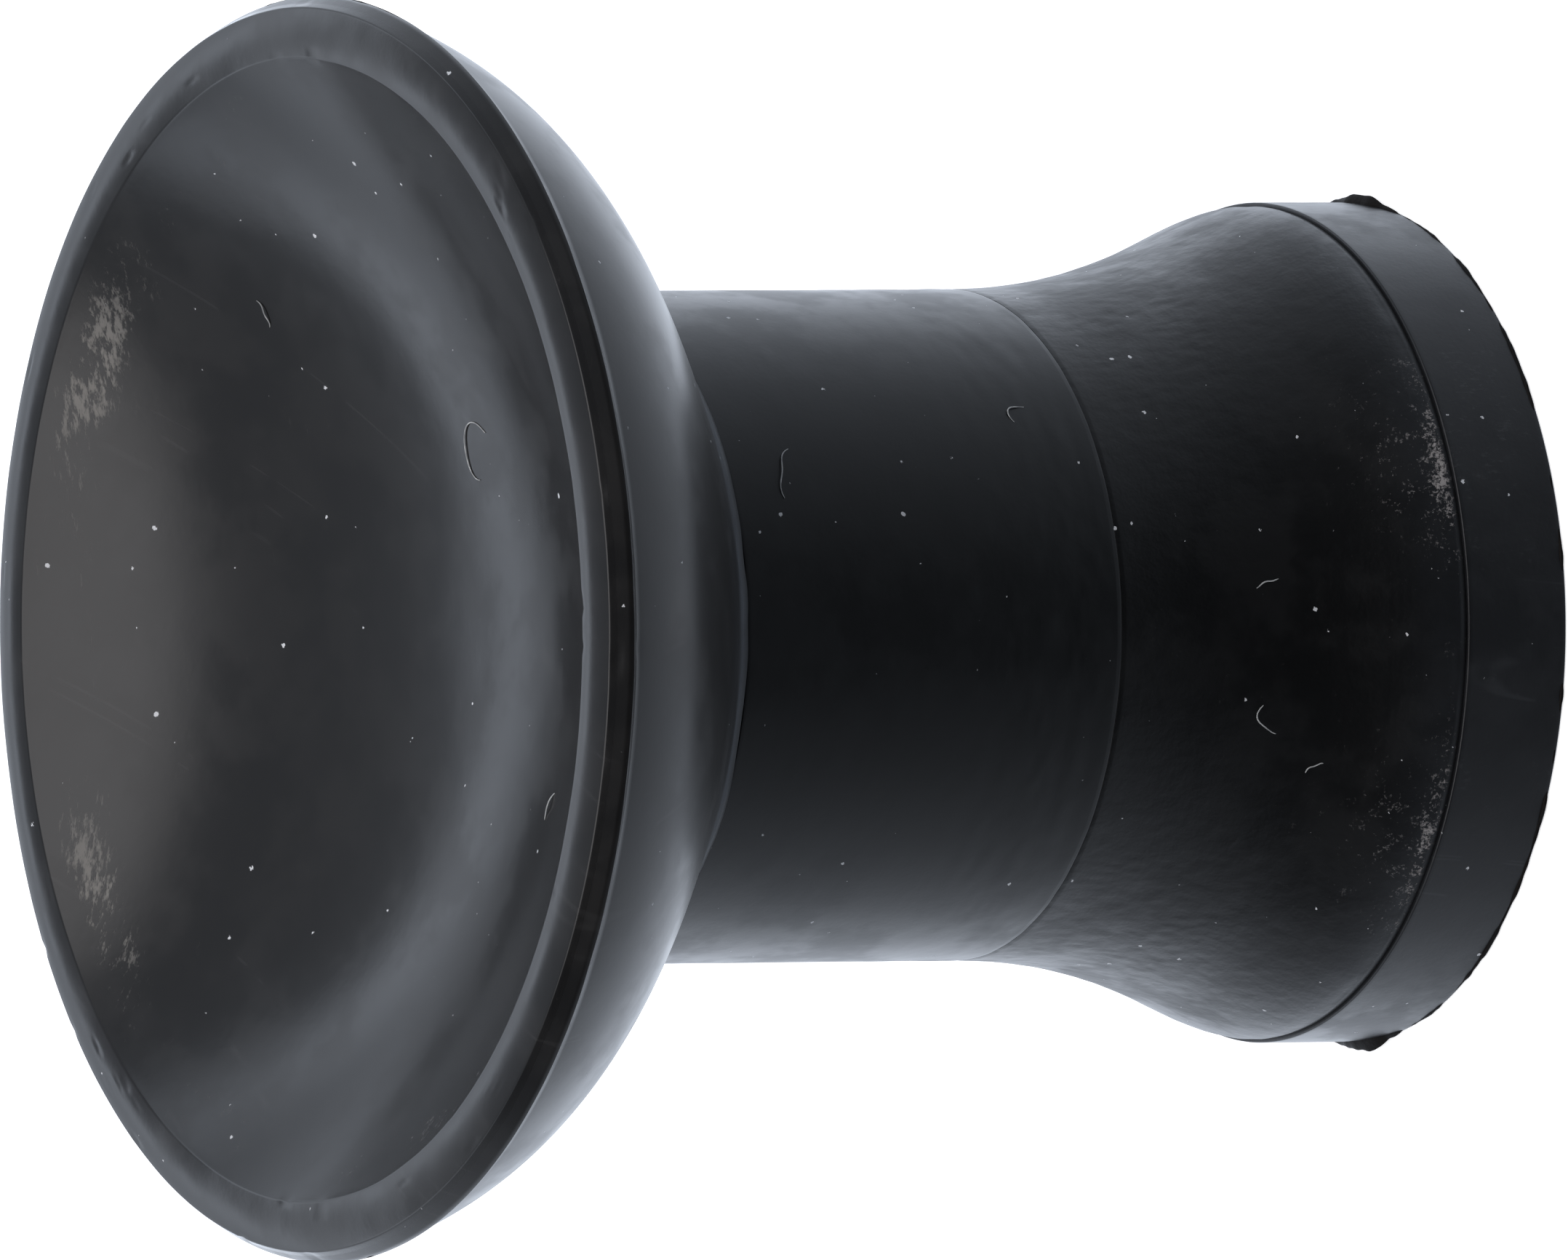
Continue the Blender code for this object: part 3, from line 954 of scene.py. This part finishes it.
def fibreTube(fibre, sides=6):
    # the heading turns steadily by the curl plus a small wiggle; the path is its running sum, lifted a
    # little off the surface, and a round section that thins at both ends follows it
    t = np.linspace(0, 1, lint["steps"])
    heading = np.radians(fibre["heading"] + fibre["curl"] * t ** 1.3 + 14 * np.sin(9 * t + fibre["heading"]))
    step = fibre["length"] / lint["steps"]
    du, dv = np.cumsum(np.cos(heading)) * step, np.cumsum(np.sin(heading)) * step
    if fibre["on"] == "dish":
        u, v = fibre["at"][0] + du, fibre["at"][1] + dv
    else:
        v = fibre["at"][1] + dv
        u = math.radians(fibre["at"][0]) + du / flareRadius(v)
    centre, out = onSurface(fibre["on"], u, v)
    lift = lint["radius"] * 0.7 + 0.05 * np.sin(math.pi * t) ** 2 * abs(math.sin(fibre["heading"]))
    centre = centre + out * lift[:, None]
    ahead = np.gradient(centre, axis=0)
    ahead /= np.linalg.norm(ahead, axis=1)[:, None]
    side = np.cross(ahead, out)
    side /= np.linalg.norm(side, axis=1)[:, None]
    up = np.cross(side, ahead)
    thin = lint["radius"] * np.clip(np.sin(math.pi * (0.04 + 0.92 * t)) ** 0.3, 0.3, 1)
    turn = np.linspace(0, 2 * math.pi, sides, endpoint=False)
    ring = (np.cos(turn)[None, :, None] * side[:, None] + np.sin(turn)[None, :, None] * up[:, None])
    points = centre[:, None] + thin[:, None, None] * ring
    index = np.arange(len(t) * sides).reshape(len(t), sides)
    across = np.roll(index, -1, 1)
    quads = np.stack([index[:-1], across[:-1], across[1:], index[1:]], axis=-1).reshape(-1, 4)
    first, last = index.size, index.size + 1
    caps = np.concatenate([
        np.stack([np.full(sides, first), across[0], index[0]], axis=-1),
        np.stack([np.full(sides, last), index[-1], across[-1]], axis=-1)])
    ends = np.stack([centre[0] - ahead[0] * 0.01, centre[-1] + ahead[-1] * 0.01])
    return np.concatenate([points.reshape(-1, 3), ends]), quads, caps


def lintMaterial():
    # pale cotton: slightly mottled along the fibre
    material, tree, shader = newMaterial("lint_fibre")
    shader.inputs["Roughness"].default_value = 0.7
    place = addNode(tree, "ShaderNodeTexCoord").outputs["Object"]
    mottle = noiseNode(tree, place, 5000.0, 2.0, 0.6)
    colour = mixColour(tree, spread(tree, mottle.outputs[0], 0.3, 0.7), (0.38, 0.38, 0.38, 1), lintColour)
    tree.links.new(colour, shader.inputs["Base Color"])
    return material


def lintPieces():
    # all the fibres in one mesh
    parts, quads, caps, count = [], [], [], 0
    for fibre in lint["fibres"]:
        points, sides, ends = fibreTube(fibre)
        parts.append(points)
        quads.append(sides + count)
        caps.append(ends + count)
        count += len(points)
    return fillMesh("lintFibres", np.concatenate(parts), np.concatenate(quads), np.concatenate(caps))


lintObject = lintPieces()
lintObject.data.materials.append(lintMaterial())
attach(lintObject, "root")
print("made", lintObject.name)


# Stage: pale floor, soft surroundings, camera

stageLook = {
    "floorSize": 6.0,   # metres
    "floorLevel": -0.02,   # mm, just clear of the base
    "floorColour": (0.86, 0.86, 0.86, 1),
    "floorGlow": 0.74,
    "coolTint": (0.90, 0.98, 1.11),   # backdrop and floor bounce
    "boxTint": (1.02, 0.99, 0.99),   # overhead softbox
    "boxLevel": 1.62,
    "upperLevel": 0.42,   # most the surroundings reach above the backdrop's top edge
    "backdrop": ((-1.0, 0.05), (-0.6, 0.13), (-0.2, 0.30), (0.2, 0.62), (0.6, 1.10), (0.85, 1.35),
                 (1.0, 1.35)),
    "backdropFoot": 0.66,   # share of that level at the horizon, rising to the crest near the top edge
    "backdropCrest": 1.6,
    "sideShade": 0.6,   # how much dimmer the left of the room is
    "floorGain": 1.35,   # how much brighter the light from straight below is
    "low": ((-1.0, 0.05), (-0.87, 0.07), (-0.67, 0.27), (-0.1, 0.55), (0.34, 0.90), (0.6, 1.40),
            (0.8, 1.75), (1.0, 1.85)),
}


def addFloor():
    # seen from above only, so that the base can be looked at from below
    half, level = stageLook["floorSize"] / 2 / mm, stageLook["floorLevel"]
    corners = np.array([[x * half, y * half, level] for x, y in ((-1, -1), (1, -1), (1, 1), (-1, 1))])
    floor = fillMesh("floor", corners, np.array([[0, 1, 2, 3]]))
    material, tree, shader = newMaterial("floor_white")
    shader.inputs["Roughness"].default_value = 0.9
    shader.inputs["Specular IOR Level"].default_value = 0.0
    shader.inputs["Emission Strength"].default_value = stageLook["floorGlow"]
    shader.inputs["Emission Color"].default_value = (1, 1, 1, 1)
    shader.inputs["Base Color"].default_value = stageLook["floorColour"]
    behind = addNode(tree, "ShaderNodeNewGeometry").outputs["Backfacing"]
    tree.links.new(mathNode(tree, "SUBTRACT", 1.0, behind), shader.inputs["Alpha"])
    floor.data.materials.append(material)
    floor.visible_glossy = False
    floor.visible_diffuse = False
    floor.visible_shadow = False


def levelRamp(tree, value, stops):
    # brightness read off (place, level) stops, place from -1 in front to 1 behind
    made = addNode(tree, "ShaderNodeValToRGB")
    made.color_ramp.interpolation = "EASE"
    elements = made.color_ramp.elements
    while len(elements) < len(stops):
        elements.new(0.5)
    for element, (place, level) in zip(elements, stops):
        element.position = (place + 1) / 2
        element.color = (level, level, level, 1)
    tree.links.new(spread(tree, value, -1.0, 1.0, smooth=False), made.inputs[0])
    return mathNode(tree, "ADD", made.outputs[0], 0.0)


def tinted(tree, level, tint):
    # the level times the tint, as a colour
    channels = {index: product(tree, level, share) for index, share in enumerate(tint)}
    return addNode(tree, "ShaderNodeCombineXYZ", channels).outputs[0]


def addSurroundings():
    # bright backdrop low behind, brighter below the horizon, dim above the backdrop's edge, and one broad
    # softbox overhead, just towards the viewer: the space that is darkest lies straight in front
    look = stageLook
    world = bpy.data.worlds.new("softStudio")
    bpy.context.scene.world = world
    world.use_nodes = True
    tree = world.node_tree
    background = tree.nodes["Background"]
    way = addNode(tree, "ShaderNodeTexCoord").outputs["Generated"]
    x, y, z = addNode(tree, "ShaderNodeSeparateXYZ", {0: way}).outputs
    upright = levelRamp(tree, y, look["backdrop"])
    crest = spread(tree, z, 0.33, 0.50, look["backdropFoot"], look["backdropCrest"])
    upright = product(tree, upright, crest)
    shade = product(tree, spread(tree, x, -0.3, -0.8, 0.0, look["sideShade"]),
                    spread(tree, y, 0.3, -0.1))
    upright = product(tree, upright, mathNode(tree, "SUBTRACT", 1.0, shade))
    low = product(tree, levelRamp(tree, y, look["low"]),
                  spread(tree, z, -0.6, -0.95, 1.0, look["floorGain"]))
    down = spread(tree, z, 0.02, -0.35)
    level = mathNode(tree, "ADD", product(tree, upright, mathNode(tree, "SUBTRACT", 1.0, down)),
                     product(tree, low, down))
    side = mathNode(tree, "ABSOLUTE", x)
    edge = spread(tree, mathNode(tree, "ADD", z, product(tree, side, -0.12)), 0.43, 0.53)
    dimmed = mathNode(tree, "MINIMUM", level, look["upperLevel"])
    level = mathNode(tree, "ADD", product(tree, level, mathNode(tree, "SUBTRACT", 1.0, edge)),
                     product(tree, dimmed, edge))
    high = mathNode(tree, "MAXIMUM", z, 0.05)
    across, along = mathNode(tree, "DIVIDE", side, high), mathNode(tree, "DIVIDE", y, high)
    box = product(tree, spread(tree, across, 1.15, 0.75), spread(tree, along, -0.95, -0.68))
    box = product(tree, box, spread(tree, along, 0.12, -0.14))
    cool = tinted(tree, level, look["coolTint"])
    warm = tinted(tree, product(tree, box, look["boxLevel"]), look["boxTint"])
    tree.links.new(vectorNode(tree, "ADD", cool, warm), background.inputs[0])


cameraView = {
    "elevation": 29.85, "tilt": -0.43,   # degrees
    "distance": 1.25,   # metres
    "lens": 1205.4, "sensor": 36, "clip": (0.01, 20),
    "aimHeight": 15.70, "aimSide": -0.09,
}


def addCamera():
    # long lens at the viewer's angle, rolled so that the axis lies across the picture
    view = cameraView
    e = math.radians(view["elevation"])
    back = Vector((0, -math.cos(e), math.sin(e)))
    up = Vector((0, math.sin(e), math.cos(e)))
    side = Vector((1, 0, 0))
    turn = math.radians(view["tilt"])
    right = (-up * math.cos(turn) + side * math.sin(turn))
    top = back.cross(right)
    aim = Vector((view["aimSide"] * mm, 0, view["aimHeight"] * mm))
    data = bpy.data.cameras.new("camera")
    data.lens = view["lens"]
    data.sensor_width = view["sensor"]
    data.clip_start, data.clip_end = view["clip"]
    camera = bpy.data.objects.new("camera", data)
    bpy.context.scene.collection.objects.link(camera)
    camera.matrix_world = Matrix.Translation(aim + back * view["distance"]) @ Matrix(
        (right, top, back)).transposed().to_4x4()
    bpy.context.scene.camera = camera


addFloor()
addSurroundings()
addCamera()
bpy.context.scene.view_settings.view_transform = "Standard"
print("stage ready")
